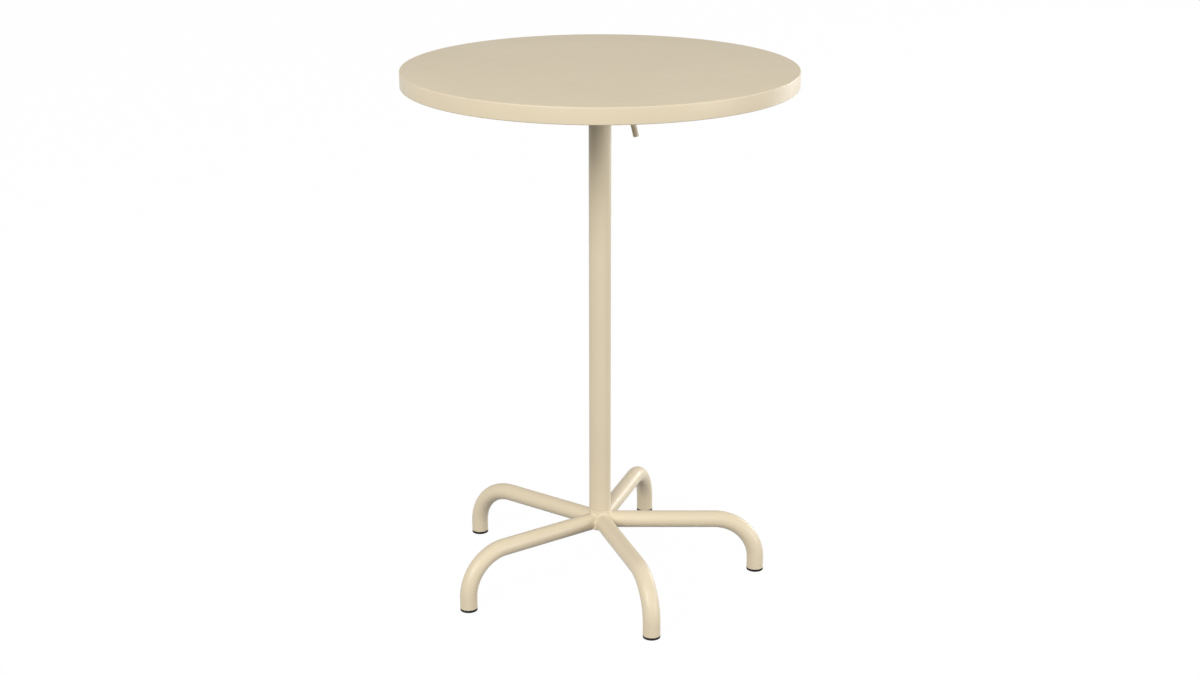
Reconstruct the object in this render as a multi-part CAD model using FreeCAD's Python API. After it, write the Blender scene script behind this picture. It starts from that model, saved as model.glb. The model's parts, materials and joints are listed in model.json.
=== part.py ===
import FreeCAD, Part
import math
import os

from FreeCAD import Vector

# Folding bar table: a round sheet-metal top that tilts on a column with curved legs.
# Millimetres, +Z up, origin on the floor under the column's axis.
# The top tilts about Y, its +X side going up, and the latch lever hangs on the +X side.

# Tabletop pan
table_height = 1100.0
top_diameter = 800.0
rim_height = 33.0
top_sheet = 1.5
top_edge_radius = 2.0
hem_width = 12.0
hem_radius = 2.0

# Stiffening rails under the pan, pressed hat sections
rail_depth = 24.0
rail_crown = 36.0
rail_flange = 14.0
rail_sheet = 1.5
rail_bend = 3.0
cross_rail_length = 640.0
end_rail_reach = 330.0
end_rail_gap = 1.0

# Column, hub and legs
column_diameter = 46.0
column_wall = 2.5
hub_neck = 9.0
hub_bore = 28.0
hub_floor = 8.0
hub_edge = 1.0
spigot_length = 40.0
spigot_clearance = 0.1
leg_count = 5
leg_diameter = 36.0
leg_wall = 2.0
leg_axis_height = 118.0
foot_circle_radius = 337.0
leg_bend_radius = 90.0
weld_radius = 4.5

# Plastic glides in the leg ends
glide_height = 5.5
glide_edge = 1.5
glide_plug_length = 18.0
glide_clearance = 0.1
glide_rib = 0.8
glide_rib_pitch = 5.0
glide_rib_count = 3

# Tilt hinge: fork on the column, saddle under the top
pivot_x = -42.0
tilt_gap = 4.5
fork_plate = 5.0
fork_gap = 42.0
fork_bend = 3.0
fork_rise = 50.0
fork_shoulder = 16.0
fork_shoulder_run = 21.0
fork_slope_run = 18.0
fork_sweep = 10.0
fork_base_end = 46.0
plate_corner = 3.0
saddle_plate = 4.0
saddle_bend = 3.0
saddle_waist = 20.0
saddle_end_margin = 8.0
bolt_diameter = 10.0
bolt_head_flats = 16.0
bolt_head_height = 6.4
bolt_nut_height = 10.0
nut_collar_height = 3.5
nut_collar_diameter = 14.0
bolt_tail = 2.0
washer_diameter = 20.0
washer_thickness = 2.0
bush_wall = 2.0
bush_flange = 1.0
bush_flange_width = 2.5
hinge_clearance = 0.05
side_play = 0.2
stop_pin_diameter = 8.0
stop_pin_inset = 8.0
stop_pin_overhang = 1.0
running_gap = 0.3

# Striker bar on the saddle and the seat that carries it
striker_x = 46.0
striker_diameter = 10.0
striker_lobe = 13.0
seat_lip = 4.0

# Screws that hold the saddle to the cross rails
screw_diameter = 8.0
screw_head_flats = 13.0
screw_head_height = 5.3
screw_length = 15.0
screw_spacing = 24.0
rail_nut_flats = 13.0
rail_nut_height = 6.5

# Latch: hook plate, round lever, pin, spacers and torsion spring
latch_x = 59.0
latch_below = 30.0
latch_ear = 13.0
hook_plate_thickness = 6.0
hook_lobe = 10.0
hook_body_half = 7.5
hook_nose_reach = 0.5
hook_nose_thickness = 1.8
hook_nose_gap = 0.4
hook_side_gap = 0.6
hook_crown = 10.0
hook_shoulder = 3.0
hook_tip_radius = 0.5
latch_angle = 10.0
lever_slant = 13.1
lever_length = 62.7
lever_diameter = 12.0
lever_start = 15.0
lever_slot = 21.0
lever_tail_width = 10.0
lever_end_chamfer = 0.8
latch_pin_diameter = 8.0
latch_pin_head = 13.0
latch_pin_head_height = 3.0
latch_pin_tail = 3.0
clip_thickness = 1.0
clip_groove = 0.6
clip_width = 3.0
clip_mouth = 4.8
spacer_wall = 1.9
spacer_play = 0.2
spring_wire = 1.6
spring_radius = 8.0
spring_turns = 4
spring_start_y = 15.0
spring_gap = 0.3
spring_hook_grip = 20.0
spring_hook_offset = 1.44
spring_elbow_radius = 1.8

# Working values: a hexagon's bevel starts at this share of its flats, and cutters pass this far through
hex_bevel_share = 0.95
cut_margin = 1.0

# Places worked out from the sizes above
top_radius = top_diameter / 2
rim_bottom = table_height - rim_height
pan_underside = table_height - top_sheet
rail_bottom = pan_underside - rail_depth
web_bottom = rail_bottom - saddle_plate
pivot = Vector(pivot_x, 0, web_bottom - tilt_gap - fork_shoulder)
striker = Vector(striker_x, 0, pivot.z)
latch = Vector(latch_x, 0, striker.z - latch_below)
column_top = pivot.z - fork_rise
column_radius = column_diameter / 2
column_bore_radius = column_radius - column_wall
leg_radius = leg_diameter / 2
leg_bore_radius = leg_radius - leg_wall
hub_bottom = leg_axis_height - leg_radius
hub_top = leg_axis_height + leg_radius + hub_neck
fork_inside = fork_gap / 2
fork_outside = fork_inside + fork_plate
saddle_inside = fork_outside + bush_flange + side_play
saddle_outside = saddle_inside + saddle_plate
saddle_left = pivot.x - fork_shoulder
saddle_right = striker.x + striker_lobe + saddle_end_margin
screw_places = [(x, side * screw_spacing / 2) for x in (pivot.x, striker.x) for side in (-1, 1)]
x_axis = Vector(1, 0, 0)
y_axis = Vector(0, 1, 0)
z_axis = Vector(0, 0, 1)


def upright(y):
    return lambda a, b: Vector(a, y, b)


def crosswise(x):
    return lambda a, b: Vector(x, a, b)


def rounded_face(corners, place):
    """Face of a polygon whose corners (a, b, radius) are rounded by tangent arcs."""
    points = [place(a, b) for a, b, radius in corners]
    count = len(points)
    stretches = []
    for i, corner in enumerate(points):
        radius = corners[i][2]
        back = (points[i - 1] - corner).normalize()
        ahead = (points[(i + 1) % count] - corner).normalize()
        half = back.getAngle(ahead) / 2
        if radius == 0:
            stretches.append((corner, None, corner))
            continue
        setback = radius / math.tan(half)
        inward = (back + ahead).normalize()
        middle = corner + inward * (radius / math.sin(half) - radius)
        stretches.append((corner + back * setback, middle, corner + ahead * setback))
    edges = []
    for i, (start, middle, end) in enumerate(stretches):
        before = stretches[i - 1][2]
        if before.distanceToPoint(start) > 1e-6:
            edges.append(Part.makeLine(before, start))
        if middle is not None:
            edges.append(Part.Arc(start, middle, end).toShape())
    return Part.Face(Part.Wire(edges))


def rod(radius, start, end):
    run = end - start
    return Part.makeCylinder(radius, run.Length, start, run)


def y_rod(radius, place, y_from, y_to):
    return rod(radius, Vector(place.x, y_from, place.z), Vector(place.x, y_to, place.z))


def tube(outer, inner, start, end):
    return rod(outer, start, end).cut(rod(inner, start, end))


def hexagon(flats, base, run):
    """Hexagonal prism standing on base along run, its far corners bevelled at 30 degrees."""
    corner = flats / math.sqrt(3)
    bevel = hex_bevel_share * flats / 2
    side = Vector(run.y, run.z, run.x).normalize()
    points = []
    for k in range(7):
        turn = FreeCAD.Rotation(run, 60 * k)
        points.append(base + turn.multVec(side) * corner)
    prism = Part.Face(Part.makePolygon(points)).extrude(run)
    cone = Part.makeCone(bevel + run.Length * math.sqrt(3), bevel, run.Length, base, run)
    return prism.common(cone)


def tabletop_pan():
    """Round sheet pan: flat top, rounded edge, straight rim and a hem turned in below."""
    inner_edge = top_edge_radius - top_sheet
    inner_hem = hem_radius - top_sheet
    hem_edge = top_radius - hem_width
    wall = top_radius - top_sheet
    hem_top = rim_bottom + top_sheet
    corners = [
        (0, table_height, 0), (top_radius, table_height, top_edge_radius),
        (top_radius, rim_bottom, hem_radius), (hem_edge, rim_bottom, 0),
        (hem_edge, hem_top, 0), (wall, hem_top, inner_hem),
        (wall, pan_underside, inner_edge), (0, pan_underside, 0),
    ]
    return rounded_face(corners, upright(0)).revolve(Vector(0, 0, 0), z_axis, 360)


def hat_rail(length):
    """Hat section along +X from the origin: crown down, flanges up against the pan."""
    half = rail_crown / 2
    edge = half + rail_flange
    outer_bend = rail_bend
    inner_bend = rail_bend - rail_sheet
    flange_bottom = pan_underside - rail_sheet
    floor = rail_bottom + rail_sheet
    inside = half - rail_sheet
    corners = [
        (-edge, pan_underside, 0), (-inside, pan_underside, outer_bend), (-inside, floor, inner_bend),
        (inside, floor, inner_bend), (inside, pan_underside, outer_bend), (edge, pan_underside, 0),
        (edge, flange_bottom, 0), (half, flange_bottom, inner_bend), (half, rail_bottom, outer_bend),
        (-half, rail_bottom, outer_bend), (-half, flange_bottom, inner_bend), (-edge, flange_bottom, 0),
    ]
    return rounded_face(corners, crosswise(0)).extrude(x_axis * length)


def cross_rail(x):
    rail = hat_rail(cross_rail_length)
    rail.translate(Vector(-cross_rail_length / 2, 0, 0))
    rail.rotate(Vector(0, 0, 0), z_axis, 90)
    rail.translate(Vector(x, 0, 0))
    for place_x, place_y in screw_places:
        foot = Vector(place_x, place_y, rail_bottom)
        rail = rail.cut(rod(screw_diameter / 2, foot, foot + z_axis * rail_sheet))
    return rail


def end_rail(side, cross_rail_x):
    start = side * cross_rail_x + rail_crown / 2 + rail_flange + end_rail_gap
    rail = hat_rail(end_rail_reach - start)
    rail.translate(Vector(start, 0, 0))
    if side < 0:
        rail.rotate(Vector(0, 0, 0), z_axis, 180)
    return rail


def channel(half_inside, plate, bend, z_web, z_open, x_from, x_to):
    """Folded U channel along X, its web at z_web and its open side at z_open."""
    up = 1 if z_open > z_web else -1
    outside = half_inside + plate
    inner = z_web + up * plate
    corners = [
        (-outside, z_open, 0), (-outside, z_web, bend + plate), (outside, z_web, bend + plate),
        (outside, z_open, 0), (half_inside, z_open, 0), (half_inside, inner, bend),
        (-half_inside, inner, bend), (-half_inside, z_open, 0),
    ]
    return rounded_face(corners, crosswise(x_from)).extrude(x_axis * (x_to - x_from))


def fork_bracket():
    """U bracket welded on the column: tilt pivot at one end, striker seat and latch at the other."""
    ear_top = striker.z + seat_lip
    shoulder_top = pivot.z + fork_shoulder
    ear_right = latch.x + latch_ear
    ear_low = latch.z - latch_ear
    corners = [
        (saddle_left, column_top, plate_corner), (saddle_left, shoulder_top, fork_shoulder),
        (pivot.x + fork_shoulder_run, shoulder_top, fork_sweep),
        (pivot.x + fork_shoulder_run + fork_slope_run, ear_top, fork_sweep),
        (striker.x + striker_diameter + seat_lip, ear_top, plate_corner),
        (ear_right, latch.z + latch_ear, fork_sweep), (ear_right, ear_low, latch_ear),
        (fork_base_end + plate_corner, ear_low, plate_corner), (fork_base_end, column_top, plate_corner),
    ]
    reach = fork_outside + cut_margin
    outline = rounded_face(corners, upright(-reach)).extrude(y_axis * 2 * reach)
    fork = channel(fork_inside, fork_plate, fork_bend, column_top, shoulder_top, saddle_left, ear_right)
    fork = fork.common(outline)
    seat_radius = striker_diameter / 2 + running_gap
    seat = y_rod(seat_radius, striker, -reach, reach)
    mouth = Part.makeBox(2 * seat_radius, 2 * reach, fork_shoulder,
                         Vector(striker.x - seat_radius, -reach, striker.z))
    lever_way = Part.makeBox(ear_right, fork_gap, shoulder_top - column_top,
                             Vector(fork_base_end, -fork_inside, column_top))
    bush_holes = y_rod(bolt_diameter / 2 + hinge_clearance + bush_wall, pivot, -reach, reach)
    pin_holes = y_rod(latch_pin_diameter / 2, latch, -reach, reach)
    stop_holes = y_rod(stop_pin_diameter / 2, stop_place(), -reach, reach)
    return fork.cut([seat, mouth, lever_way, bush_holes, pin_holes, stop_holes])


def stop_place():
    """Stop pin's axis: the saddle's end lands on it, less the running gap, at a quarter turn."""
    landing = pivot.z - fork_shoulder
    drop = stop_pin_diameter / 2 + running_gap
    return Vector(saddle_left + stop_pin_inset, 0, landing - drop)


def saddle_bracket():
    """Inverted U under the rails: lobes for the tilt bolt and for the striker bar."""
    waist = rail_bottom - saddle_waist
    pivot_low = pivot.z - fork_shoulder
    pivot_right = pivot.x + fork_shoulder
    striker_low = striker.z - striker_lobe
    lobe_left = striker.x - striker_lobe
    lobe_right = striker.x + striker_lobe
    corners = [
        (saddle_left, rail_bottom, 0), (saddle_left, pivot_low, fork_shoulder),
        (pivot_right, pivot_low, fork_shoulder), (pivot_right, waist, plate_corner),
        (lobe_left, waist, plate_corner), (lobe_left, striker_low, striker_lobe),
        (lobe_right, striker_low, striker_lobe), (lobe_right, waist, plate_corner),
        (saddle_right, waist + saddle_end_margin, plate_corner), (saddle_right, rail_bottom, 0),
    ]
    reach = saddle_outside + cut_margin
    outline = rounded_face(corners, upright(-reach)).extrude(y_axis * 2 * reach)
    saddle = channel(saddle_inside, saddle_plate, saddle_bend, rail_bottom, pivot_low,
                     saddle_left, saddle_right)
    saddle = saddle.common(outline)
    bolt_hole = y_rod(bolt_diameter / 2, pivot, -reach, reach)
    striker_hole = y_rod(striker_diameter / 2, striker, -reach, reach)
    holes = [bolt_hole, striker_hole]
    for x, y in screw_places:
        foot = Vector(x, y, web_bottom)
        holes.append(rod(screw_diameter / 2, foot, foot + z_axis * saddle_plate))
    return saddle.cut(holes)


def saddle_screw(x, y):
    foot = Vector(x, y, web_bottom)
    head = hexagon(screw_head_flats, foot, z_axis * -screw_head_height)
    return head.fuse(rod(screw_diameter / 2, foot, foot + z_axis * screw_length))


def rail_nut(x, y):
    foot = Vector(x, y, rail_bottom + rail_sheet)
    nut = hexagon(rail_nut_flats, foot, z_axis * rail_nut_height)
    return nut.cut(rod(screw_diameter / 2, foot, foot + z_axis * rail_nut_height))


def tilt_bolt():
    outer = saddle_outside + washer_thickness
    head = hexagon(bolt_head_flats, Vector(pivot.x, -outer, pivot.z), y_axis * -bolt_head_height)
    return head.fuse(y_rod(bolt_diameter / 2, pivot, -outer, outer + bolt_nut_height + bolt_tail))


def tilt_nut():
    """Lock nut: hexagon with a round collar that holds the nylon ring."""
    foot = saddle_outside + washer_thickness
    seat = Vector(pivot.x, foot, pivot.z)
    nut = hexagon(bolt_head_flats, seat, y_axis * (bolt_nut_height - nut_collar_height))
    ring = y_rod(nut_collar_diameter / 2, pivot, foot, foot + bolt_nut_height)
    return nut.fuse(ring).cut(y_rod(bolt_diameter / 2, pivot, foot, foot + bolt_nut_height))


def tilt_washer(side):
    return tube(washer_diameter / 2, bolt_diameter / 2,
                Vector(pivot.x, side * saddle_outside, pivot.z),
                Vector(pivot.x, side * (saddle_outside + washer_thickness), pivot.z))


def tilt_bush(side):
    """Flanged nylon bush in one fork ear, its flange between fork and saddle."""
    bore = bolt_diameter / 2 + hinge_clearance
    sleeve = y_rod(bore + bush_wall, pivot, side * fork_inside, side * fork_outside)
    flange = y_rod(bore + bush_wall + bush_flange_width, pivot, side * fork_outside,
                   side * (fork_outside + bush_flange))
    hole = y_rod(bore, pivot, side * fork_inside, side * (fork_outside + bush_flange))
    return sleeve.fuse(flange).cut(hole)


def column_tube():
    return tube(column_radius, column_bore_radius, Vector(0, 0, hub_top), Vector(0, 0, column_top))


def hub():
    """Turned hub that the legs are welded to, with a spigot up inside the column."""
    spigot_radius = column_bore_radius - spigot_clearance
    spigot_top = hub_top + spigot_length
    bore_roof = spigot_top - hub_floor
    corners = [
        (hub_bore / 2, hub_bottom, hub_edge), (column_radius, hub_bottom, hub_edge),
        (column_radius, hub_top, 0), (spigot_radius, hub_top, 0),
        (spigot_radius, spigot_top, hub_edge), (0, spigot_top, 0),
        (0, bore_roof, 0), (hub_bore / 2, bore_roof, hub_edge),
    ]
    return rounded_face(corners, upright(0)).revolve(Vector(0, 0, 0), z_axis, 360)


def leg_run(radius):
    """Bar of the leg's path: level run from the hub, quarter bend, short drop to the glide."""
    bend_start = foot_circle_radius - leg_bend_radius
    bend_end = leg_axis_height - leg_bend_radius
    level = rod(radius, Vector(0, 0, leg_axis_height), Vector(bend_start, 0, leg_axis_height))
    section = Part.Face(Part.Wire(Part.makeCircle(radius, Vector(bend_start, 0, leg_axis_height), x_axis)))
    bend = section.revolve(Vector(bend_start, 0, bend_end), y_axis, 90)
    drop = rod(radius, Vector(foot_circle_radius, 0, bend_end), Vector(foot_circle_radius, 0, glide_height))
    return level.fuse([bend, drop]).removeSplitter()


def leg(index):
    """Bent tube, mitred against its two neighbours and coped to the hub."""
    pitch = 360 / leg_count
    reach = foot_circle_radius + leg_diameter
    spread = reach * math.tan(math.radians(pitch / 2))
    wedge = Part.Face(Part.makePolygon([
        Vector(0, 0, 0), Vector(reach, -spread, 0), Vector(reach, spread, 0), Vector(0, 0, 0)]))
    wedge = wedge.extrude(z_axis * (leg_axis_height + leg_diameter))
    cope = rod(column_radius, Vector(0, 0, 0), Vector(0, 0, leg_axis_height + leg_diameter))
    shape = leg_run(leg_radius).cut(leg_run(leg_bore_radius)).common(wedge).cut(cope)
    shape.rotate(Vector(0, 0, 0), z_axis, pitch * index)
    return shape


def leg_welds():
    """Hollow weld fillets along the creases between the legs, and between the legs and the hub."""
    reach = foot_circle_radius - leg_bend_radius
    core = rod(column_radius, Vector(0, 0, hub_bottom - leg_radius), Vector(0, 0, hub_top + leg_radius))
    stubs = []
    for index in range(leg_count):
        stub = rod(leg_radius, Vector(0, 0, leg_axis_height), Vector(reach, 0, leg_axis_height))
        stub.rotate(Vector(0, 0, 0), z_axis, 360 / leg_count * index)
        stubs.append(stub)
    joined = core.fuse(stubs).removeSplitter().Solids[0]
    creases = []
    for edge in joined.Edges:
        faces = joined.ancestorsOfType(edge, Part.Face)
        if len(faces) == 2 and all(face.Surface.TypeId == "Part::GeomCylinder" for face in faces):
            creases.append(edge)
    rounded = joined.makeFillet(weld_radius, creases)
    low = hub_bottom + hub_edge
    slab = Part.makeBox(2 * reach, 2 * reach, hub_top - low, Vector(-reach, -reach, low))
    return rounded.cut(joined).common(slab)


def foot_glide(index):
    """Black plastic glide: flange under the tube's end, ribbed plug inside it."""
    core = leg_bore_radius - glide_clearance - glide_rib
    plug_top = glide_height + glide_plug_length
    corners = [
        (0, 0, 0), (leg_radius, 0, glide_edge), (leg_radius, glide_height, 0), (core, glide_height, 0),
        (core, plug_top, glide_edge), (0, plug_top, 0),
    ]
    glide = rounded_face(corners, upright(0)).revolve(Vector(0, 0, 0), z_axis, 360)
    for k in range(glide_rib_count):
        low = glide_height + glide_rib_pitch * (k + 0.5)
        glide = glide.fuse(tube(core + glide_rib, core - glide_rib, Vector(0, 0, low),
                                Vector(0, 0, low + 2 * glide_rib)))
    glide.translate(Vector(foot_circle_radius, 0, 0))
    glide.rotate(Vector(0, 0, 0), z_axis, 360 / leg_count * index)
    return glide


def striker_pin():
    return y_rod(striker_diameter / 2, striker, -saddle_outside, saddle_outside)


def stop_pin():
    reach = saddle_outside + stop_pin_overhang
    return y_rod(stop_pin_diameter / 2, stop_place(), -reach, reach)


def latch_pin():
    """Headed pin with a groove for its retaining ring."""
    radius = latch_pin_diameter / 2
    pin = y_rod(radius, latch, -fork_outside, fork_outside + latch_pin_tail)
    head = y_rod(latch_pin_head / 2, latch, -fork_outside - latch_pin_head_height, -fork_outside)
    start = fork_outside + running_gap
    groove = tube(radius, radius - clip_groove, Vector(latch.x, start, latch.z),
                  Vector(latch.x, start + clip_thickness, latch.z))
    return pin.fuse(head).cut(groove)


def latch_pin_clip():
    """Retaining ring, open towards the floor."""
    inner = latch_pin_diameter / 2 - clip_groove
    start = fork_outside + running_gap
    ring = tube(latch_pin_diameter / 2 + clip_width, inner, Vector(latch.x, start, latch.z),
                Vector(latch.x, start + clip_thickness, latch.z))
    opening = Part.makeBox(clip_mouth, clip_thickness, latch_pin_diameter,
                           Vector(latch.x - clip_mouth / 2, start, latch.z - latch_pin_diameter))
    return ring.cut(opening)


def latch_spacer(side):
    inner = latch_pin_diameter / 2 + hinge_clearance
    return tube(inner + spacer_wall, inner,
                Vector(latch.x, side * (hook_plate_thickness / 2 + spacer_play), latch.z),
                Vector(latch.x, side * (fork_inside - spacer_play), latch.z))


def hook_plate():
    """Flat hook: nose over the striker when latched, drawn swung clear of it, tail for the lever."""
    half = hook_plate_thickness / 2
    nose_tip = striker.x - hook_nose_reach
    nose_low = striker.z + striker_diameter / 2 + hook_nose_gap
    inner = striker.x + striker_diameter / 2 + hook_side_gap
    outer = latch.x + hook_body_half
    corners = [
        (nose_tip, nose_low, hook_tip_radius), (inner, nose_low, plate_corner), (inner, latch.z, 0),
        (outer, latch.z, 0), (outer, nose_low + hook_shoulder, plate_corner),
        (latch.x, nose_low + hook_crown, plate_corner),
        (nose_tip, nose_low + hook_nose_thickness, hook_tip_radius),
    ]
    body = rounded_face(corners, upright(-half)).extrude(y_axis * hook_plate_thickness)
    body.rotate(latch, y_axis, latch_angle)
    lobe = y_rod(hook_lobe, latch, -half, half)
    tail = Part.makeBox(lever_tail_width, hook_plate_thickness, lever_start + lever_slot,
                        latch + Vector(-lever_tail_width / 2, -half, -lever_start - lever_slot))
    tail.rotate(latch, y_axis, -lever_slant)
    bore = y_rod(latch_pin_diameter / 2 + hinge_clearance, latch, -half, half)
    return body.fuse([lobe, tail]).removeSplitter().cut(bore)


def lever_rod():
    """Round bar handle, slotted over the hook plate's tail, with a flat-cut lower end."""
    radius = lever_diameter / 2
    run = lever_length - lever_start
    bar = Part.makeCylinder(radius, run, Vector(0, 0, -lever_length), z_axis)
    bar = bar.makeChamfer(lever_end_chamfer, [edge for edge in bar.Edges if edge.Closed])
    slot = Part.makeBox(lever_diameter, hook_plate_thickness, lever_slot,
                        Vector(-radius, -hook_plate_thickness / 2, -lever_start - lever_slot))
    bar = bar.cut(slot)
    bar.rotate(Vector(0, 0, 0), y_axis, -lever_slant)
    bar.translate(latch)
    return bar


def tangent_angle(point, turn):
    """Angle on the coil's circle where a straight leg through point leaves it."""
    away = math.atan2(point.z, point.x)
    return away + turn * math.acos(spring_radius / math.hypot(point.x, point.z))


def biarc(start, start_way, end, end_way):
    """Two tangent arcs from start to end, along the given directions."""
    chord = end - start
    a = 2 * (start_way.dot(end_way) - 1)
    b = -2 * chord.dot(start_way + end_way)
    c = chord.dot(chord)
    arm = (-b - math.sqrt(b * b - 4 * a * c)) / (2 * a)
    joint = (start + start_way * arm + end - end_way * arm) * 0.5
    edges = []
    for first, apex, last in ((start, start + start_way * arm, joint), (joint, end - end_way * arm, end)):
        base = (first + last) * 0.5
        half = first.distanceToPoint(last) / 2
        rise = apex.distanceToPoint(base)
        sag = half * math.tan(math.atan2(rise, half) / 2)
        edges.append(Part.Arc(first, base + (apex - base) * (sag / rise), last).toShape())
    return edges


def spring_path():
    """Torsion spring's wire: leg on the fork's base, coil round the spacer, leg over the hook."""
    beside_hook = hook_plate_thickness / 2 + spring_wire / 2 + spring_gap
    offset = spring_wire / 2 + spring_gap
    low = Vector(fork_base_end + offset, 0, column_top + fork_plate / 2) - latch
    high = Vector(hook_body_half + spring_hook_offset, 0, spring_hook_grip)
    high = FreeCAD.Rotation(y_axis, latch_angle).multVec(high)
    first = tangent_angle(low, -1) % (2 * math.pi)
    last = tangent_angle(high, 1) - 2 * math.pi * spring_turns
    low_leg = math.sqrt(low.dot(low) - spring_radius ** 2)
    high_leg = math.sqrt(high.dot(high) - spring_radius ** 2)
    climb = (spring_start_y - beside_hook) / (first - last + high_leg / spring_radius)

    def at(angle):
        return latch + Vector(spring_radius * math.cos(angle), spring_start_y + climb * (angle - first),
                              spring_radius * math.sin(angle))

    def way(angle):
        return Vector(spring_radius * math.sin(angle), -climb, -spring_radius * math.cos(angle)).normalize()

    steps = math.ceil((first - last) / (math.pi / 2))
    angles = [first + (last - first) * k / steps for k in range(steps + 1)]
    edges = [Part.makeLine(at(first) - way(first) * low_leg, at(first))]
    for start, end in zip(angles, angles[1:]):
        edges += biarc(at(start), way(start), at(end), way(end))
    leave = way(last)
    elbow = at(last) + leave * high_leg
    across = (y_axis * -1 - leave * (y_axis * -1).dot(leave)).normalize()
    bend_from = elbow - leave * spring_elbow_radius
    bend_to = elbow + across * spring_elbow_radius
    centre = bend_from + across * spring_elbow_radius
    middle = centre + (elbow - centre).normalize() * spring_elbow_radius
    edges.append(Part.makeLine(at(last), bend_from))
    edges.append(Part.Arc(bend_from, middle, bend_to).toShape())
    edges.append(Part.makeLine(bend_to, bend_to + across * hook_plate_thickness))
    return Part.Wire(edges)


def latch_spring():
    path = spring_path()
    start = path.Edges[0]
    section = Part.Wire(Part.makeCircle(spring_wire / 2, start.valueAt(start.FirstParameter),
                                        start.tangentAt(start.FirstParameter)))
    shape = path.makePipeShell([section], True, False)
    step = spring_wire / 4
    points = path.discretize(Distance=step)
    skip = math.ceil(math.pi * spring_wire / step)
    least = min(points[i].distanceToPoint(points[k])
                for i in range(len(points)) for k in range(i + skip, len(points)))
    print("latch_spring least gap to itself %.2f mm" % (least - spring_wire))
    return shape


def group(shapes):
    return Part.makeCompound(shapes)


def build():
    pieces = {
        "tabletop_pan": tabletop_pan(),
        "cross_rail_left": cross_rail(pivot.x),
        "cross_rail_right": cross_rail(striker.x),
        "end_rail_left": end_rail(-1, pivot.x),
        "end_rail_right": end_rail(1, striker.x),
        "saddle_bracket": saddle_bracket(),
        "saddle_screws": group([saddle_screw(x, y) for x, y in screw_places]),
        "rail_nuts": group([rail_nut(x, y) for x, y in screw_places]),
        "striker_pin": striker_pin(),
        "tilt_bolt": tilt_bolt(),
        "tilt_nut": tilt_nut(),
        "tilt_washers": group([tilt_washer(side) for side in (-1, 1)]),
        "tilt_bushes": group([tilt_bush(side) for side in (-1, 1)]),
        "fork_bracket": fork_bracket(),
        "stop_pin": stop_pin(),
        "latch_pin": latch_pin(),
        "latch_pin_clip": latch_pin_clip(),
        "latch_spacers": group([latch_spacer(side) for side in (-1, 1)]),
        "latch_spring": latch_spring(),
        "hook_plate": hook_plate(),
        "lever_rod": lever_rod(),
        "column_tube": column_tube(),
        "hub": hub(),
        "leg_welds": leg_welds(),
    }
    for index in range(leg_count):
        pieces["leg_%d" % (index + 1)] = leg(index)
        pieces["foot_glide_%d" % (index + 1)] = foot_glide(index)
    return pieces


os.makedirs("parts", exist_ok=True)
for name, shape in build().items():
    print(name, len(shape.Solids), "%.1f" % (shape.Volume / 1000), shape.isValid())
    shape.exportStep("parts/%s.step" % name)
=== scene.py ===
import bmesh
import bpy
import json
import math
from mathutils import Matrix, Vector


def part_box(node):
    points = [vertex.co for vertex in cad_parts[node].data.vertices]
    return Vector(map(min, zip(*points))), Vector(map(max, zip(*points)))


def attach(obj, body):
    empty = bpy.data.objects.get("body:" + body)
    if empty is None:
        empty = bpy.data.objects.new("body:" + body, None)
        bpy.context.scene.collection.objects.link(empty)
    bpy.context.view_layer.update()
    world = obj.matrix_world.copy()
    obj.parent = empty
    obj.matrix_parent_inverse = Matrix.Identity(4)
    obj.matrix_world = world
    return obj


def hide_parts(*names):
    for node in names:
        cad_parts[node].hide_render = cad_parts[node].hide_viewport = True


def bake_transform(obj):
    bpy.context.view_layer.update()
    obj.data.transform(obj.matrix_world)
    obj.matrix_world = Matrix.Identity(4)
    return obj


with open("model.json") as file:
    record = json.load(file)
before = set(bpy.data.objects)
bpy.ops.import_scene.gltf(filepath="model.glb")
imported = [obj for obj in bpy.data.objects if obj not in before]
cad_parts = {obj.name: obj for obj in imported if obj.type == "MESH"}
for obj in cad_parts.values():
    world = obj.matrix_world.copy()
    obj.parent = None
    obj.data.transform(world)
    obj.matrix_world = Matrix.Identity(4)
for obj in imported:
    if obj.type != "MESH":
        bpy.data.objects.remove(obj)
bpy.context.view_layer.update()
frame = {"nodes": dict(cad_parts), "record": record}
nodes = frame["nodes"]
scene = bpy.context.scene
mm = 0.001
print("frame loaded:", len(nodes), "nodes")


# sizes read from the frame, in metres
def span(node, axis):
    low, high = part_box(node)
    return low[axis], high[axis]


def middle(node):
    low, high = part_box(node)
    return (low + high) / 2


def numbered(stem):
    return ["%s_%d" % (stem, k + 1) for k in range(legCount)]


topRadius = span("tabletop_pan", 0)[1]
rimBottom, topHeight = span("tabletop_pan", 2)
columnRadius = span("column_tube", 0)[1]
seamHeight, columnTop = span("column_tube", 2)
hubBottom, hubTop = span("hub", 2)
tubeRadius = span("leg_1", 1)[1]
tubeBottom, tubeTop = span("leg_1", 2)
legAxis = tubeTop - tubeRadius
footRadius = middle("foot_glide_1").x
legCount = sum(name.startswith("foot_glide_") for name in nodes)


# mesh helpers
foldAngles = {"pressed": 32, "round": 60}  # degrees, and a sharper fold keeps a hard edge
poleReach = 1e-7  # a turned profile's point nearer to the axis than this is a pole


def placeObject(name, data):
    placed = bpy.data.objects.new(name, data)
    scene.collection.objects.link(placed)
    return placed


def addPiece(name, bm):
    mesh = bpy.data.meshes.new(name)
    bm.to_mesh(mesh)
    bm.free()
    return placeObject(name, mesh)


def smooth(piece, fold="pressed"):
    piece.data.shade_smooth()
    piece.data.set_sharp_from_angle(angle=math.radians(foldAngles[fold]))
    return piece


def applyModifiers(piece):
    graph = bpy.context.evaluated_depsgraph_get()
    mesh = bpy.data.meshes.new_from_object(piece.evaluated_get(graph))
    piece.modifiers.clear()
    piece.data = mesh
    return piece


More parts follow.
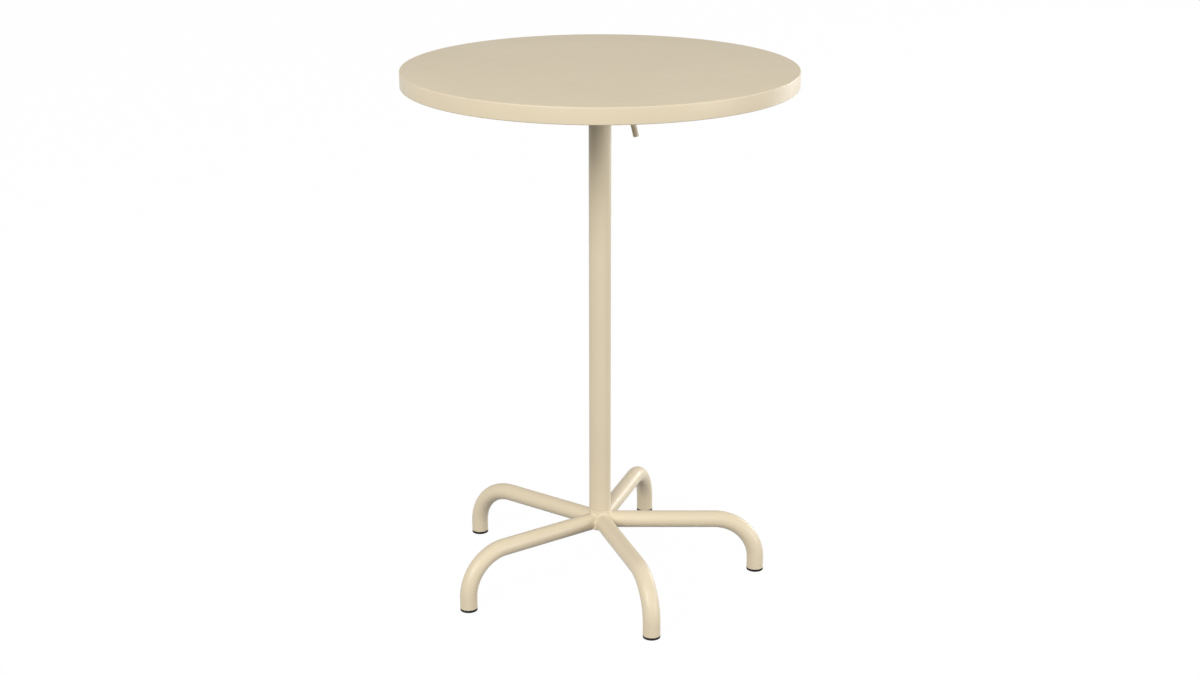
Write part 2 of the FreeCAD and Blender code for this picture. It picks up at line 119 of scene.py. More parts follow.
def thicken(piece, wall):
    # gives an open sheet its wall, inwards from the faces that show
    modifier = piece.modifiers.new("wall", "SOLIDIFY")
    modifier.thickness = wall
    modifier.offset = -1.0
    modifier.use_even_offset = True
    return applyModifiers(piece)


def finishPiece(piece, body, slotName, *stoodFor):
    piece.data.materials.clear()
    piece.data.materials.append(slotMaterials[slotName])
    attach(piece, body)
    if stoodFor:
        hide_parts(*stoodFor)
    return piece


def roundedProfile(corners, steps):
    # corners are (r, z, radius), and a radius of 0 keeps one sharp
    points = []
    for i, (r, z, radius) in enumerate(corners):
        here = Vector((r, z))
        if radius == 0:
            points.append(here)
            continue
        back = (Vector(corners[i - 1][:2]) - here).normalized()
        ahead = (Vector(corners[(i + 1) % len(corners)][:2]) - here).normalized()
        half = back.angle(ahead) / 2
        centre = here + (back + ahead).normalized() * (radius / math.sin(half))
        start = here + back * (radius / math.tan(half)) - centre
        end = here + ahead * (radius / math.tan(half)) - centre
        turn = math.copysign(math.pi - 2 * half, start.cross(end))
        first = math.atan2(start.y, start.x)
        for k in range(steps + 1):
            angle = first + turn * k / steps
            points.append(centre + Vector((math.cos(angle), math.sin(angle))) * radius)
    return points


def lathe(name, profile, around):
    # closed profile of (r, z) points, turned about the Z axis
    bm = bmesh.new()
    rings = []
    for r, z in profile:
        count = around if r > poleReach else 1
        angles = [2 * math.pi * k / around for k in range(count)]
        rings.append([bm.verts.new((r * math.cos(a), r * math.sin(a), z)) for a in angles])
    for low, high in zip(rings, rings[1:] + rings[:1]):
        for k in range(around):
            n = (k + 1) % around
            corners = [low[k % len(low)], low[n % len(low)], high[n % len(high)], high[k % len(high)]]
            corners = list(dict.fromkeys(corners))
            if len(corners) > 2:
                bm.faces.new(corners)
    bmesh.ops.recalc_face_normals(bm, faces=bm.faces[:])
    return addPiece(name, bm)


# geometry node helpers
def startTree(name, inputs):
    tree = bpy.data.node_groups.new(name, "GeometryNodeTree")
    tree.interface.new_socket("Geometry", in_out="INPUT", socket_type="NodeSocketGeometry")
    for label, kind in inputs:
        tree.interface.new_socket(label, in_out="INPUT", socket_type="NodeSocket" + kind)
    tree.interface.new_socket("Geometry", in_out="OUTPUT", socket_type="NodeSocketGeometry")
    return tree, tree.nodes.new("NodeGroupInput"), tree.nodes.new("NodeGroupOutput")


def addNode(tree, kind, links=None, **settings):
    node = tree.nodes.new(kind)
    for key, value in settings.items():
        setattr(node, key, value)
    for key, value in (links or {}).items():
        socket = node.inputs[key]
        if isinstance(value, bpy.types.NodeSocket):
            tree.links.new(value, socket)
        else:
            socket.default_value = value
    return node


def math2(tree, operation, a, b=0.0):
    return addNode(tree, "ShaderNodeMath", {0: a, 1: b}, operation=operation).outputs[0]


def positionParts(tree):
    place = addNode(tree, "GeometryNodeInputPosition").outputs[0]
    return addNode(tree, "ShaderNodeSeparateXYZ", {0: place}).outputs


def sweptTube(tree, path, sides, radius):
    ring = addNode(tree, "GeometryNodeCurvePrimitiveCircle", {"Resolution": sides, "Radius": radius})
    links = {"Curve": path, "Profile Curve": ring.outputs[0]}
    return addNode(tree, "GeometryNodeCurveToMesh", links).outputs[0]


def repeatRound(tree, shape, count):
    # copies of a shape, turned evenly about the Z axis
    spots = addNode(tree, "GeometryNodePoints", {"Count": count})
    pitch = math2(tree, "DIVIDE", 2 * math.pi, count)
    turn = math2(tree, "MULTIPLY", addNode(tree, "GeometryNodeInputIndex").outputs[0], pitch)
    spin = addNode(tree, "ShaderNodeCombineXYZ", {"Z": turn})
    copies = addNode(tree, "GeometryNodeInstanceOnPoints", {
        "Points": spots.outputs[0], "Instance": shape, "Rotation": spin.outputs[0]})
    return copies.outputs[0]


def endTree(tree, groupOut, geometry, material):
    real = addNode(tree, "GeometryNodeRealizeInstances", {"Geometry": geometry})
    shaded = addNode(tree, "GeometryNodeSetShadeSmooth", {"Geometry": real.outputs[0]})
    painted = addNode(tree, "GeometryNodeSetMaterial", {
        "Geometry": shaded.outputs[0], "Material": material})
    tree.links.new(painted.outputs[0], groupOut.inputs[0])


def bakeTree(source, tree, name, values):
    modifier = source.modifiers.new(tree.name, "NODES")
    modifier.node_group = tree
    for item in tree.interface.items_tree:
        if item.in_out == "INPUT" and item.name in values:
            modifier[item.identifier] = values[item.name]
    source.update_tag()
    graph = bpy.context.evaluated_depsgraph_get()
    mesh = bpy.data.meshes.new_from_object(source.evaluated_get(graph))
    source.modifiers.clear()
    bpy.data.objects.remove(source)
    mesh.name = name
    return placeObject(name, mesh)


def pathObject(name, paths, closed):
    curve = bpy.data.curves.new(name, "CURVE")
    curve.dimensions = "3D"
    for points in paths:
        spline = curve.splines.new("POLY")
        spline.points.add(len(points) - 1)
        for slot, point in zip(spline.points, points):
            slot.co = (*point, 1.0)
        spline.use_cyclic_u = closed
    return placeObject(name, curve)


# materials: each noise is given as (scale, detail)
noiseSpan = (0.3, 0.7)  # the stretch of a noise that a colour or a roughness is spread over


def startMaterial(name):
    material = bpy.data.materials.new(name)
    material.use_nodes = True
    tree = material.node_tree
    shader = tree.nodes["Principled BSDF"]
    place = tree.nodes.new("ShaderNodeTexCoord").outputs["Object"]
    return material, tree, shader, place


def noise(tree, place, scale, detail):
    links = {"Vector": place, "Scale": scale, "Detail": detail}
    return addNode(tree, "ShaderNodeTexNoise", links).outputs["Fac"]


def tint(tree, shader, fac, low, high):
    node = addNode(tree, "ShaderNodeValToRGB", {"Fac": fac})
    for element, colour, place in zip(node.color_ramp.elements, (low, high), noiseSpan):
        element.position = place
        element.color = (*colour, 1.0)
    tree.links.new(node.outputs["Color"], shader.inputs["Base Color"])


def roughen(tree, shader, fac, low, high):
    node = addNode(tree, "ShaderNodeMapRange", {
        "Value": fac, "From Min": noiseSpan[0], "From Max": noiseSpan[1], "To Min": low, "To Max": high})
    tree.links.new(node.outputs["Result"], shader.inputs["Roughness"])


def bump(tree, shader, height, distance, strength):
    node = addNode(tree, "ShaderNodeBump", {"Height": height, "Distance": distance, "Strength": strength})
    tree.links.new(node.outputs["Normal"], shader.inputs["Normal"])


coatLook = {"deep": (0.672, 0.573, 0.408), "light": (0.700, 0.600, 0.432), "cloud": (5.0, 3.0),
            "rough": (0.34, 0.42), "haze": (45.0, 4.0), "shine": 0.4,
            "peel": (620.0, 1.5), "peelDepth": 0.06 * mm, "peelStrength": 0.18}


def beigeCoat():
    material, tree, shader, place = startMaterial("beigeCoat")
    shader.inputs["Specular IOR Level"].default_value = coatLook["shine"]
    tint(tree, shader, noise(tree, place, *coatLook["cloud"]), coatLook["deep"], coatLook["light"])
    roughen(tree, shader, noise(tree, place, *coatLook["haze"]), *coatLook["rough"])
    peel = noise(tree, place, *coatLook["peel"])
    bump(tree, shader, peel, coatLook["peelDepth"], coatLook["peelStrength"])
    return material


glideLook = {"deep": (0.005, 0.005, 0.006), "light": (0.010, 0.010, 0.011), "cloud": (60.0, 2.0),
             "rough": (0.55, 0.7), "shine": 0.2,
             "grain": (900.0, 2.0), "grainDepth": 0.05 * mm, "grainStrength": 0.3}


def blackGlide():
    material, tree, shader, place = startMaterial("blackGlide")
    shader.inputs["Specular IOR Level"].default_value = glideLook["shine"]
    tint(tree, shader, noise(tree, place, *glideLook["cloud"]), glideLook["deep"], glideLook["light"])
    grain = noise(tree, place, *glideLook["grain"])
    roughen(tree, shader, grain, *glideLook["rough"])
    bump(tree, shader, grain, glideLook["grainDepth"], glideLook["grainStrength"])
    return material


zincLook = {"dull": (0.47, 0.48, 0.49), "bright": (0.62, 0.63, 0.63), "cloud": (140.0, 4.0),
            "rough": (0.28, 0.42), "grain": (420.0, 3.0), "grainDepth": 0.03 * mm, "grainStrength": 0.2}


def zincPlate():
    material, tree, shader, place = startMaterial("zincPlate")
    shader.inputs["Metallic"].default_value = 1.0
    tint(tree, shader, noise(tree, place, *zincLook["cloud"]), zincLook["dull"], zincLook["bright"])
    grain = noise(tree, place, *zincLook["grain"])
    roughen(tree, shader, grain, *zincLook["rough"])
    bump(tree, shader, grain, zincLook["grainDepth"], zincLook["grainStrength"])
    return material


wireLook = {"dull": (0.16, 0.16, 0.17), "bright": (0.27, 0.27, 0.28), "cloud": (300.0, 3.0),
            "rough": (0.3, 0.45)}


def springWire():
    material, tree, shader, place = startMaterial("springWire")
    shader.inputs["Metallic"].default_value = 1.0
    cloud = noise(tree, place, *wireLook["cloud"])
    tint(tree, shader, cloud, wireLook["dull"], wireLook["bright"])
    roughen(tree, shader, cloud, *wireLook["rough"])
    return material


nylonLook = {"deep": (0.66, 0.64, 0.58), "light": (0.72, 0.70, 0.64), "cloud": (200.0, 2.0),
             "rough": (0.4, 0.5)}


def bushNylon():
    material, tree, shader, place = startMaterial("bushNylon")
    cloud = noise(tree, place, *nylonLook["cloud"])
    tint(tree, shader, cloud, nylonLook["deep"], nylonLook["light"])
    roughen(tree, shader, cloud, *nylonLook["rough"])
    return material


slotMaterials = {"beige_coat": beigeCoat(), "glide_plastic": blackGlide(), "zinc_steel": zincPlate(),
                 "spring_steel": springWire(), "bush_nylon": bushNylon()}
coat = slotMaterials["beige_coat"]
print("materials ready:", len(slotMaterials))


# tabletop pan: one turned sheet with a rounded edge and a hem rolled in below
panSizes = {"sheet": 1.5 * mm, "edgeRadius": 2.0 * mm, "hemRadius": 2.0 * mm, "hemWidth": 12.0 * mm,
            "around": 320, "arcSteps": 10}


def makePan():
    sheet, edge = panSizes["sheet"], panSizes["edgeRadius"]
    hem, hemEdge = panSizes["hemRadius"], topRadius - panSizes["hemWidth"]
    wall, underside = topRadius - sheet, topHeight - sheet
    inner, outer = topRadius / 3, topRadius * 2 / 3  # rings that part the flat faces
    corners = [(0.0, topHeight, 0), (inner, topHeight, 0), (outer, topHeight, 0),
               (topRadius, topHeight, edge), (topRadius, rimBottom, hem), (hemEdge, rimBottom, 0),
               (hemEdge, rimBottom + sheet, 0), (wall, rimBottom + sheet, hem - sheet),
               (wall, underside, edge - sheet), (outer, underside, 0), (inner, underside, 0),
               (0.0, underside, 0)]
    pan = lathe("tabletop", roundedProfile(corners, panSizes["arcSteps"]), panSizes["around"])
    finishPiece(smooth(pan), "top", "beige_coat", "tabletop_pan")


makePan()
print("tabletop turned")


# column and hub: turned tubes with a faint rounded seam between them
columnSizes = {"wall": 2.5 * mm, "seamRound": 1.6 * mm, "around": 160, "arcSteps": 5,
               "hubBore": 14.0 * mm, "hubEdge": 1.5 * mm, "hubDepth": 77.0 * mm, "spigotPlay": 0.1 * mm,
               "collarRadius": 33.5 * mm, "collarDrop": 11.7 * mm, "collarEdge": 0.8 * mm}


def makeColumn():
    bore, seam = columnRadius - columnSizes["wall"], columnSizes["seamRound"]
    corners = [(columnRadius, seamHeight, seam), (columnRadius, columnTop, 0), (bore, columnTop, 0),
               (bore, seamHeight, 0)]
    column = lathe("column", roundedProfile(corners, columnSizes["arcSteps"]), columnSizes["around"])
    finishPiece(smooth(column), "base", "beige_coat", "column_tube")


def makeHub():
    seam, edge, bore = columnSizes["seamRound"], columnSizes["hubEdge"], columnSizes["hubBore"]
    roof = hubBottom + columnSizes["hubDepth"]
    spigot = columnRadius - columnSizes["wall"] - columnSizes["spigotPlay"]
    collar, collarEdge = columnSizes["collarRadius"], columnSizes["collarEdge"]
    collarBottom = legAxis - columnSizes["collarDrop"]  # the collar shows between the legs
    corners = [(bore, hubBottom, edge), (columnRadius, hubBottom, edge), (columnRadius, collarBottom, 0),
               (collar, collarBottom, collarEdge), (collar, legAxis, 0), (columnRadius, legAxis, 0),
               (columnRadius, seamHeight, seam), (spigot, seamHeight, 0), (spigot, hubTop, 0),
               (0.0, hubTop, 0), (0.0, roof, 0), (bore, roof, 0)]
    hub = lathe("hubBoss", roundedProfile(corners, columnSizes["arcSteps"]), columnSizes["around"])
    finishPiece(smooth(hub), "base", "beige_coat", "hub")


makeColumn()
makeHub()
print("column and hub turned")


# legs: one bent path swept as a tube, coped to hub and neighbours, repeated round the column
legSizes = {"bendRadius": 90.0 * mm, "bendSteps": 40, "tubeSides": 72, "wall": 2.0 * mm,
            "innerReach": 0.1 * mm}  # points nearer to the axis than that are coped


def legTree():
    tree, groupIn, groupOut = startTree("bentLegs", [
        ("Leg Count", "Int"), ("Bend Radius", "Float"), ("Bend Steps", "Int"), ("Tube Radius", "Float"),
        ("Tube Sides", "Int"), ("Hub Radius", "Float"), ("Inner Reach", "Float")])
    given = groupIn.outputs
    path = {"Curve": given["Geometry"], "Count": given["Bend Steps"], "Radius": given["Bend Radius"]}
    bent = addNode(tree, "GeometryNodeFilletCurve", path, mode="POLY")
    tube = sweptTube(tree, bent.outputs[0], given["Tube Sides"], given["Tube Radius"])
    # cope: the inner ring follows the hub, or the mitre plane between two legs
    place = positionParts(tree)
    across = place["Y"]
    hubSquare = math2(tree, "MULTIPLY", given["Hub Radius"], given["Hub Radius"])
    hubLeft = math2(tree, "SUBTRACT", hubSquare, math2(tree, "MULTIPLY", across, across))
    hubFace = math2(tree, "SQRT", math2(tree, "MAXIMUM", hubLeft, 0.0))
    halfPitch = math2(tree, "DIVIDE", math.pi, given["Leg Count"])
    mitreFace = math2(tree, "DIVIDE", math2(tree, "ABSOLUTE", across), math2(tree, "TANGENT", halfPitch))
    copeX = math2(tree, "MAXIMUM", hubFace, mitreFace)
    moved = addNode(tree, "ShaderNodeCombineXYZ", {"X": copeX, "Y": across, "Z": place["Z"]})
    inner = addNode(tree, "FunctionNodeCompare", {"A": place["X"], "B": given["Inner Reach"]},
                    data_type="FLOAT", operation="LESS_THAN")
    coped = addNode(tree, "GeometryNodeSetPosition", {
        "Geometry": tube, "Selection": inner.outputs[0], "Position": moved.outputs[0]})
    endTree(tree, groupOut, repeatRound(tree, coped.outputs[0], given["Leg Count"]), coat)
    return tree


def makeLegs():
    bends = [(0.0, 0.0, legAxis), (footRadius, 0.0, legAxis), (footRadius, 0.0, tubeBottom)]
    legs = bakeTree(pathObject("legPath", [bends], False), legTree(), "bentLegs", {
        "Leg Count": legCount, "Bend Radius": legSizes["bendRadius"], "Bend Steps": legSizes["bendSteps"],
        "Tube Radius": tubeRadius, "Tube Sides": legSizes["tubeSides"], "Hub Radius": columnRadius,
        "Inner Reach": legSizes["innerReach"]})
    thicken(legs, legSizes["wall"])
    finishPiece(smooth(legs), "base", "beige_coat", *numbered("leg"))


makeLegs()
print("legs swept:", legCount)


# welds: the hollow curve that a ball leaves when it rolls along the legs and the hub
weldSizes = {"ball": 4.5 * mm, "steps": 28, "arcSteps": 7, "skin": 0.6 * mm,
             "wedgeGap": 0.001 * mm, "joinGap": 0.002 * mm}  # points closer than these are merged


def legTouch(centre, azimuth):
    along = Vector((math.cos(azimuth), math.sin(azimuth), 0.0))
    onAxis = along * centre.dot(along) + Vector((0.0, 0.0, legAxis))
    return (onAxis - centre).normalized()


def hubTouch(centre):
    return Vector((-centre.x, -centre.y, 0.0)).normalized()


def arcRow(bm, centre, first, last):
    row = []
    for k in range(weldSizes["arcSteps"] + 1):
        direction = first.slerp(last, k / weldSizes["arcSteps"])
        row.append(bm.verts.new(centre + direction * weldSizes["ball"]))
    return row


def addStrip(bm, rows):
    for one, two in zip(rows, rows[1:]):
        for k in range(len(one) - 1):
            bm.faces.new((one[k], one[k + 1], two[k + 1], two[k]))


def addCorner(bm, centre, a, b, c):
    # round triangle where two legs and the hub meet
    steps = weldSizes["arcSteps"]
    rows = []
    for i in range(steps + 1):
        left, right = a.slerp(b, i / steps), a.slerp(c, i / steps)
        row = [left.slerp(right, j / i) if i else a for j in range(i + 1)]
        rows.append([bm.verts.new(centre + d * weldSizes["ball"]) for d in row])
    for one, two in zip(rows, rows[1:]):
        for j in range(len(one)):
            bm.faces.new((one[j], two[j], two[j + 1]))
            if j:
                bm.faces.new((one[j - 1], two[j], one[j]))


def weldWedge():
    ball, steps, half = weldSizes["ball"], weldSizes["steps"], math.pi / legCount
    reach, ring = tubeRadius + ball, columnRadius + ball
    last = math.acos(ring * math.sin(half) / reach)
    bm = bmesh.new()
    rows = []  # crotch between two legs
    for k in range(steps + 1):
        lean = last * (2 * k / steps - 1)
        out = reach * math.cos(lean) / math.sin(half)
        centre = Vector((out * math.cos(half), out * math.sin(half), legAxis + reach * math.sin(lean)))
        rows.append(arcRow(bm, centre, legTouch(centre, 0.0), legTouch(centre, 2 * half)))
    addStrip(bm, rows)
    rows = []  # along the hub, over one leg
    for k in range(steps + 1):
        turn = half * (2 * k / steps - 1)
        side = ring * math.sin(turn)
        centre = Vector((ring * math.cos(turn), side, legAxis + math.sqrt(reach ** 2 - side ** 2)))
        rows.append(arcRow(bm, centre, hubTouch(centre), legTouch(centre, 0.0)))
    addStrip(bm, rows)
    for lift in (-1, 1):
        height = legAxis + lift * reach * math.sin(last)
        centre = Vector((ring * math.cos(half), ring * math.sin(half), height))
        addCorner(bm, centre, hubTouch(centre), legTouch(centre, 0.0), legTouch(centre, 2 * half))
    bmesh.ops.remove_doubles(bm, verts=bm.verts[:], dist=weldSizes["wedgeGap"])
    bmesh.ops.recalc_face_normals(bm, faces=bm.faces[:])
    upward = sum(face.normal.z * face.calc_area() for face in bm.faces)
    if upward < 0:
        bmesh.ops.reverse_faces(bm, faces=bm.faces[:])
    return addPiece("weldWedge", bm)


def weldTree():
    tree, groupIn, groupOut = startTree("legWelds", [("Leg Count", "Int"), ("Join Gap", "Float")])
    given = groupIn.outputs
    wedges = repeatRound(tree, given["Geometry"], given["Leg Count"])
    joined = addNode(tree, "GeometryNodeRealizeInstances", {"Geometry": wedges})
    merged = addNode(tree, "GeometryNodeMergeByDistance", {
        "Geometry": joined.outputs[0], "Distance": given["Join Gap"]})
    endTree(tree, groupOut, merged.outputs[0], coat)
    return tree


def makeWelds():
    welds = bakeTree(weldWedge(), weldTree(), "legWelds", {
        "Leg Count": legCount, "Join Gap": weldSizes["joinGap"]})
    thicken(welds, weldSizes["skin"])
    finishPiece(smooth(welds, "round"), "base", "beige_coat", "leg_welds")


makeWelds()
print("welds laid")


# glides: one moulded plug repeated on the foot circle
glideSizes = {"flangeEdge": 0.7 * mm, "shoulder": 0.3 * mm, "plugRadius": 15.1 * mm, "around": 72,
              "arcSteps": 6}


def glideTree():
    tree, groupIn, groupOut = startTree("footGlides", [("Glide Count", "Int"), ("Foot Radius", "Float")])
    given = groupIn.outputs
    circle = addNode(tree, "GeometryNodeMeshCircle", {
        "Vertices": given["Glide Count"], "Radius": given["Foot Radius"]})
    glides = addNode(tree, "GeometryNodeInstanceOnPoints", {
        "Points": circle.outputs[0], "Instance": given["Geometry"]})
    endTree(tree, groupOut, glides.outputs[0], slotMaterials["glide_plastic"])
    return tree


def makeGlides():
    low, high = span("foot_glide_1", 2)
    plug, edge = glideSizes["plugRadius"], glideSizes["flangeEdge"]
    corners = [(0.0, low, 0), (tubeRadius, low, edge), (tubeRadius, tubeBottom, glideSizes["shoulder"]),
               (plug, tubeBottom, 0), (plug, high, edge), (0.0, high, 0)]
    one = lathe("oneGlide", roundedProfile(corners, glideSizes["arcSteps"]), glideSizes["around"])
    glides = bakeTree(one, glideTree(), "footGlides", {"Glide Count": legCount, "Foot Radius": footRadius})
    finishPiece(smooth(glides), "base", "glide_plastic", *numbered("foot_glide"))


makeGlides()
print("glides placed")


# pressed and turned metal under the top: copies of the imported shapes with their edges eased
edgeSizes = {"plate": 0.6 * mm, "bar": 0.4 * mm, "small": 0.2 * mm}
softened = {"fork_bracket": "small", "saddle_bracket": "plate", "hook_plate": "bar", "lever_rod": "bar",
            "cross_rail_left": "small", "cross_rail_right": "small", "end_rail_left": "small",
            "end_rail_right": "small", "striker_pin": "bar", "stop_pin": "bar"}
easeSizes = {"mergeGap": 0.002 * mm, "flatAngle": 1.0, "cornerAngle": 40, "segments": 2}
slotOf = {row["node"]: row["material_slot"] for row in frame["record"]["subparts"]}
bodies = frame["record"]["behaviour"]["bodies"]
bodyOf = {node: body for body, members in bodies.items() for node in members}


def mergedCopy(node):
    bm = bmesh.new()
    bm.from_mesh(nodes[node].data)
    bmesh.ops.remove_doubles(bm, verts=bm.verts[:], dist=easeSizes["mergeGap"])
    return bm


def easedCopy(node, width):
    bm = mergedCopy(node)
    flat = math.radians(easeSizes["flatAngle"])
    bmesh.ops.dissolve_limit(bm, angle_limit=flat, verts=bm.verts[:], edges=bm.edges[:])
    piece = addPiece(node + ".eased", bm)
    modifier = piece.modifiers.new("easedEdges", "BEVEL")
    modifier.width = width
    modifier.segments = easeSizes["segments"]
    modifier.limit_method = "ANGLE"
    modifier.angle_limit = math.radians(easeSizes["cornerAngle"])
    modifier.use_clamp_overlap = False  # clamped, one short edge would leave them all sharp
    applyModifiers(piece)
    finishPiece(smooth(piece), bodyOf[node], slotOf[node], node)


for node, kind in softened.items():
    easedCopy(node, edgeSizes[kind])
for node, piece in nodes.items():
    piece.data.materials.clear()
    piece.data.materials.append(slotMaterials[slotOf[node]])
print("hardware finished:", len(softened), "pieces eased")


def makeSpring():
    spring = smooth(addPiece("latchSpring", mergedCopy("latch_spring")), "round")
    spring.data.materials.append(slotMaterials["spring_steel"])
    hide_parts("latch_spring")
    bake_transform(spring)


makeSpring()
print("spring wound")


# bead that welds the fork to the column's head, rippled as the torch went round
beadSizes = {"steps": 300, "offset": 0.8 * mm, "radius": 2.6 * mm, "sides": 12, "ripples": 72,
             "depth": 0.16 * mm}


def beadTree():
    tree, groupIn, groupOut = startTree("forkBead", [
        ("Bead Radius", "Float"), ("Bead Sides", "Int"), ("Ripple Count", "Int"),
        ("Ripple Depth", "Float")])
    given = groupIn.outputs
    bead = sweptTube(tree, given["Geometry"], given["Bead Sides"], given["Bead Radius"])
    place = positionParts(tree)
    turn = math2(tree, "ARCTAN2", place["Y"], place["X"])
    wave = math2(tree, "SINE", math2(tree, "MULTIPLY", turn, given["Ripple Count"]))
    swell = math2(tree, "MULTIPLY", wave, given["Ripple Depth"])
    outward = addNode(tree, "GeometryNodeInputNormal").outputs[0]
    shift = addNode(tree, "ShaderNodeVectorMath", {0: outward, "Scale": swell}, operation="SCALE")
    rippled = addNode(tree, "GeometryNodeSetPosition", {"Geometry": bead, "Offset": shift.outputs[0]})
    endTree(tree, groupOut, rippled.outputs[0], coat)
    return tree


def makeBead():
    reach, height = columnRadius + beadSizes["offset"], columnTop - beadSizes["offset"]
    angles = [2 * math.pi * k / beadSizes["steps"] for k in range(beadSizes["steps"])]
    seam = [(reach * math.cos(a), reach * math.sin(a), height) for a in angles]
    bead = bakeTree(pathObject("beadPath", [seam], True), beadTree(), "forkBead", {
        "Bead Radius": beadSizes["radius"], "Bead Sides": beadSizes["sides"],
        "Ripple Count": beadSizes["ripples"], "Ripple Depth": beadSizes["depth"]})
    finishPiece(smooth(bead, "round"), "base", "beige_coat")


# spot welds: a ring mark at each place where a rail's flange is welded to the pan
spotSizes = {"flange": 14.0 * mm, "sheet": 1.5 * mm, "endMargin": 18.0 * mm, "spacing": 75.0 * mm,
             "radius": 2.7 * mm, "lip": 0.35 * mm, "sides": 24, "lipSides": 8}


def flangeLines(rail):
    low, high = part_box(rail)
    half, margin = spotSizes["flange"] / 2, spotSizes["endMargin"]
    z = high.z - spotSizes["sheet"]
    if high.y - low.y > high.x - low.x:
        return [[(x, low.y + margin, z), (x, high.y - margin, z)] for x in (low.x + half, high.x - half)]
    return [[(low.x + margin, y, z), (high.x - margin, y, z)] for y in (low.y + half, high.y - half)]


def spotTree():
    tree, groupIn, groupOut = startTree("spotWelds", [
        ("Spacing", "Float"), ("Spot Radius", "Float"), ("Spot Sides", "Int"), ("Lip Radius", "Float"),
        ("Lip Sides", "Int")])
    given = groupIn.outputs
    places = addNode(tree, "GeometryNodeResampleCurve", {
        "Curve": given["Geometry"], "Length": given["Spacing"]}, mode="LENGTH")
    circle = addNode(tree, "GeometryNodeCurvePrimitiveCircle", {
        "Resolution": given["Spot Sides"], "Radius": given["Spot Radius"]})
    lip = sweptTube(tree, circle.outputs[0], given["Lip Sides"], given["Lip Radius"])
    spots = addNode(tree, "GeometryNodeInstanceOnPoints", {"Points": places.outputs[0], "Instance": lip})
    endTree(tree, groupOut, spots.outputs[0], coat)
    return tree


def makeSpots():
    rails = [name for name in nodes if name.endswith(("_rail_left", "_rail_right"))]
    lines = [line for rail in rails for line in flangeLines(rail)]
    spots = bakeTree(pathObject("flangePath", lines, False), spotTree(), "spotWelds", {
        "Spacing": spotSizes["spacing"], "Spot Radius": spotSizes["radius"],
        "Spot Sides": spotSizes["sides"], "Lip Radius": spotSizes["lip"],
        "Lip Sides": spotSizes["lipSides"]})
    finishPiece(smooth(spots, "round"), "top", "beige_coat")


makeBead()
makeSpots()
print("fork bead and spot welds laid")


# stage: a white floor that keeps a share of the shadow
stageSizes = {"radius": 400.0, "segments": 96, "white": 1.12, "shadowShare": 0.12, "bounce": 0.1}


def whiteStage():
    material = bpy.data.materials.new("paleStage")
    material.use_nodes = True
    tree = material.node_tree
    tree.nodes.clear()
    rays = tree.nodes.new("ShaderNodeLightPath").outputs
    seen = math2(tree, "MAXIMUM", rays["Is Camera Ray"], rays["Is Glossy Ray"])
    seen = math2(tree, "MAXIMUM", seen, rays["Is Transmission Ray"])
    share = math2(tree, "MULTIPLY", seen, 1 - stageSizes["shadowShare"])
    pale = addNode(tree, "ShaderNodeBsdfDiffuse", {"Color": (stageSizes["bounce"],) * 3 + (1.0,)})
    white = addNode(tree, "ShaderNodeEmission", {
        "Color": (1.0, 1.0, 1.0, 1.0), "Strength": stageSizes["white"]})
    mixed = addNode(tree, "ShaderNodeMixShader", {0: share, 1: pale.outputs[0], 2: white.outputs[0]})
    end = tree.nodes.new("ShaderNodeOutputMaterial")
    tree.links.new(mixed.outputs[0], end.inputs["Surface"])
    return material


def makeStage():
    bm = bmesh.new()
    bmesh.ops.create_circle(bm, cap_ends=True, segments=stageSizes["segments"], radius=stageSizes["radius"])
    stage = addPiece("paleStage", bm)
    stage.data.materials.append(whiteStage())


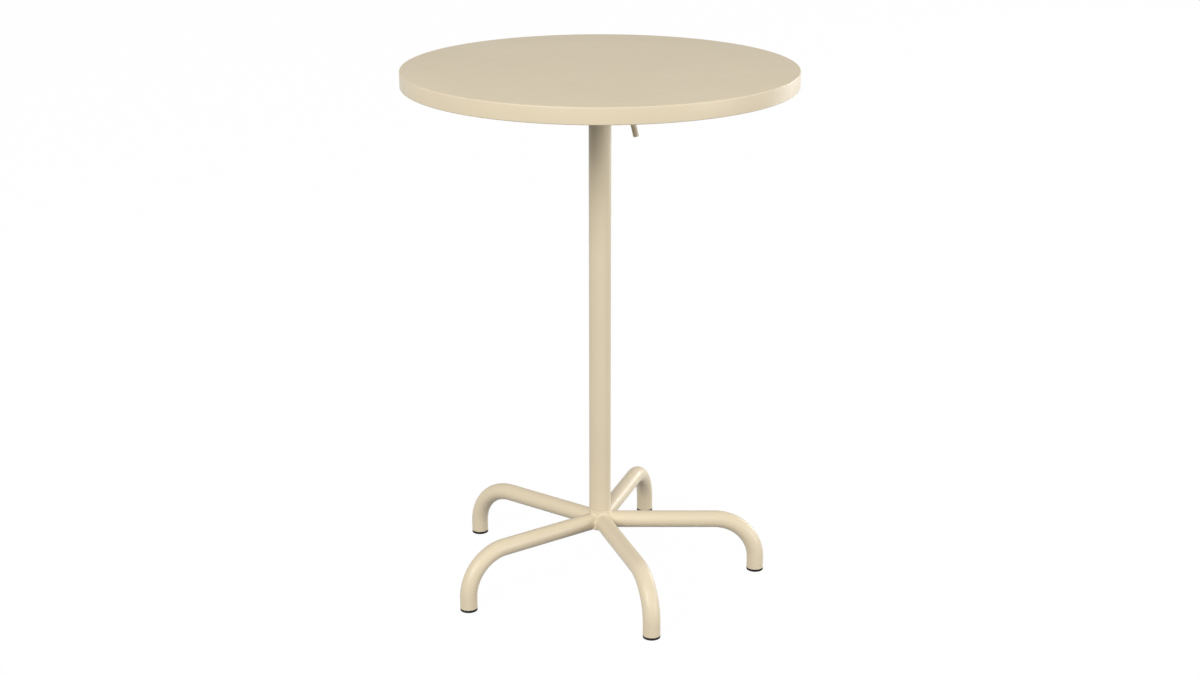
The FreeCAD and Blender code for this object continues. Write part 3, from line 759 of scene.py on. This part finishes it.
# each lamp: azimuth from the front (right is +), elevation, distance, width, height and watts
lampSizes = {"key": (-35, 32, 9.0, 3.9, 3.9, 324.0), "keyLow": (-35, 20, 9.0, 3.9, 3.9, 237.0),
             "front": (0, 26, 9.0, 3.9, 3.9, 151.0), "low": (65, 6, 9.0, 3.4, 3.2, 290.0),
             "side": (95, 10, 9.0, 1.3, 3.2, 126.0), "backLow": (135, 8, 9.0, 2.6, 3.0, 174.0),
             "backHigh": (135, 35, 9.0, 2.6, 4.3, 48.0), "overhead": (0, 89.9, 9.0, 5.4, 5.4, 60.0),
             "rimStrip": (125, -5.7, 3.0, 1.6, 1.0, 8.0)}  # its gleam whitens the rim's right end
lightSizes = {"aimHeight": 0.8, "world": 0.45}


def areaLight(name, place, aim, size, power):
    data = bpy.data.lights.new(name, "AREA")
    data.shape = "RECTANGLE"
    data.size, data.size_y = size
    data.energy = power
    lamp = placeObject(name, data)
    lamp.visible_camera = False
    lamp.location = place
    lamp.rotation_euler = (aim - place).to_track_quat("-Z", "Y").to_euler()


def makeLights():
    world = bpy.data.worlds.new("softWorld")
    scene.world = world
    world.use_nodes = True
    back = world.node_tree.nodes["Background"]
    back.inputs["Color"].default_value = (1.0, 1.0, 1.0, 1.0)
    back.inputs["Strength"].default_value = lightSizes["world"]
    aim = Vector((0.0, 0.0, lightSizes["aimHeight"]))
    for name, (azimuth, elevation, reach, width, height, power) in lampSizes.items():
        turn, rise = math.radians(azimuth), math.radians(elevation)
        out = Vector((math.sin(turn) * math.cos(rise), -math.cos(turn) * math.cos(rise), math.sin(rise)))
        areaLight(name, aim + out * reach, aim, (width, height), power)


# the photograph's camera, in metres and degrees, with lens and sensor in millimetres
cameraFit = {"distance": 3.7962, "height": 1.7943, "pitch": 18.412, "lens": 57.365, "sensor": 36.0,
             "clipEnd": 1000.0}


def makeCamera():
    data = bpy.data.cameras.new("photoCamera")
    data.lens = cameraFit["lens"]
    data.sensor_width = cameraFit["sensor"]
    data.clip_end = cameraFit["clipEnd"]
    camera = placeObject("photoCamera", data)
    camera.location = (0.0, -cameraFit["distance"], cameraFit["height"])
    camera.rotation_euler = (math.radians(90 - cameraFit["pitch"]), 0.0, 0.0)
    scene.camera = camera


makeStage()
makeLights()
makeCamera()
scene.view_settings.view_transform = "Standard"
print("stage, lights and camera set")
